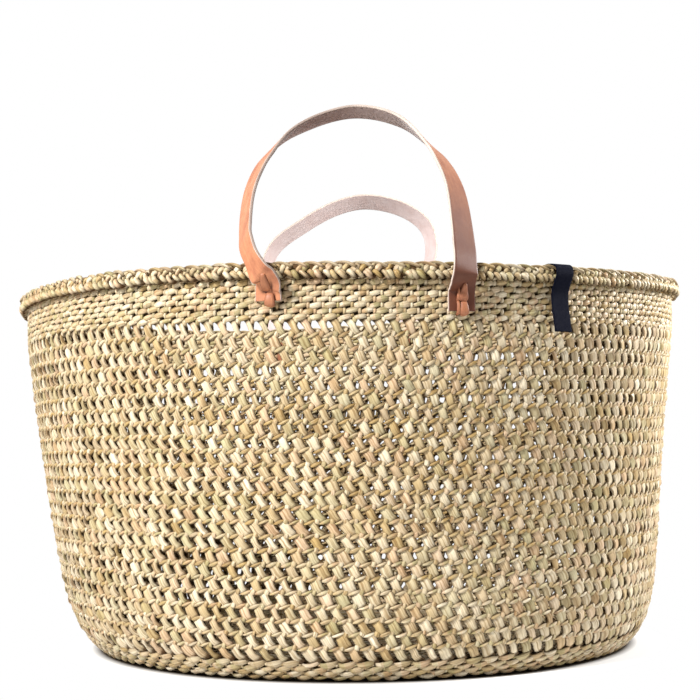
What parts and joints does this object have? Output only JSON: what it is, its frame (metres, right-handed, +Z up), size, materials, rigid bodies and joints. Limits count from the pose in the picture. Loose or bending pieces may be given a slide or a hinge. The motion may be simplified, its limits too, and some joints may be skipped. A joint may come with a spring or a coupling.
{
  "type": "floor basket",
  "caption": "Round open floor basket of twined grass with a braided rim, leather strap handles laced to a close-twined band, and a folded tape tag.",
  "frame": {"origin": "on the floor, under the centre of the rim", "axes": "+Z up, the front handle towards -Y, the tape tag to the right of it towards +X"},
  "size_m": [0.5395, 0.5661, 0.4177],
  "materials": {
    "grass_stakes": "dry split grass, satin with fine fibres",
    "grass_twine": "dry twisted grass, satin with fine fibres",
    "strap_leather": "vegetable tanned grain outside, rough flesh side inside",
    "tag_tape": "dark woven tape, matt"
  },
  "bodies": {
    "basket": {"woven_base": "grass_twine", "tight_base_edge": "grass_twine", "stake_wall": "grass_stakes", "twine_row_01": "grass_twine", "twine_row_02": "grass_twine", "twine_row_03": "grass_twine", "twine_row_04": "grass_twine", "twine_row_05": "grass_twine", "twine_row_06": "grass_twine", "twine_row_07": "grass_twine", "twine_row_08": "grass_twine", "twine_row_09": "grass_twine", "twine_row_10": "grass_twine", "twine_row_11": "grass_twine", "twine_row_12": "grass_twine", "twine_row_13": "grass_twine", "twine_row_14": "grass_twine", "twine_row_15": "grass_twine", "twine_row_16": "grass_twine", "twine_row_17": "grass_twine", "twine_row_18": "grass_twine", "twine_row_19": "grass_twine", "twine_row_20": "grass_twine", "twine_row_21": "grass_twine", "twine_row_22": "grass_twine", "twine_row_23": "grass_twine", "close_twined_band": "grass_twine", "rim_braid": "grass_twine", "label_tape": "tag_tape", "front_strap_foot_left": "strap_leather", "front_strap_foot_right": "strap_leather", "front_thong_left": "strap_leather", "front_thong_right": "strap_leather", "rear_strap_foot_left": "strap_leather", "rear_strap_foot_right": "strap_leather", "rear_thong_left": "strap_leather", "rear_thong_right": "strap_leather"},
    "front_handle": {"front_strap_loop": "strap_leather"},
    "rear_handle": {"rear_strap_loop": "strap_leather"}
  },
  "joints": [
    {"name": "front_handle_flex", "type": "hinge", "parent": "basket", "child": "front_handle", "pos_m": [0, -0.26603, 0.282], "axis": [0.9999, 0, 0.0166], "range_deg": [-35, 150]},
    {"name": "rear_handle_flex", "type": "hinge", "parent": "basket", "child": "rear_handle", "pos_m": [0, 0.26603, 0.282], "axis": [-0.9999, 0, -0.0166], "range_deg": [-80, 105]}
  ]
}
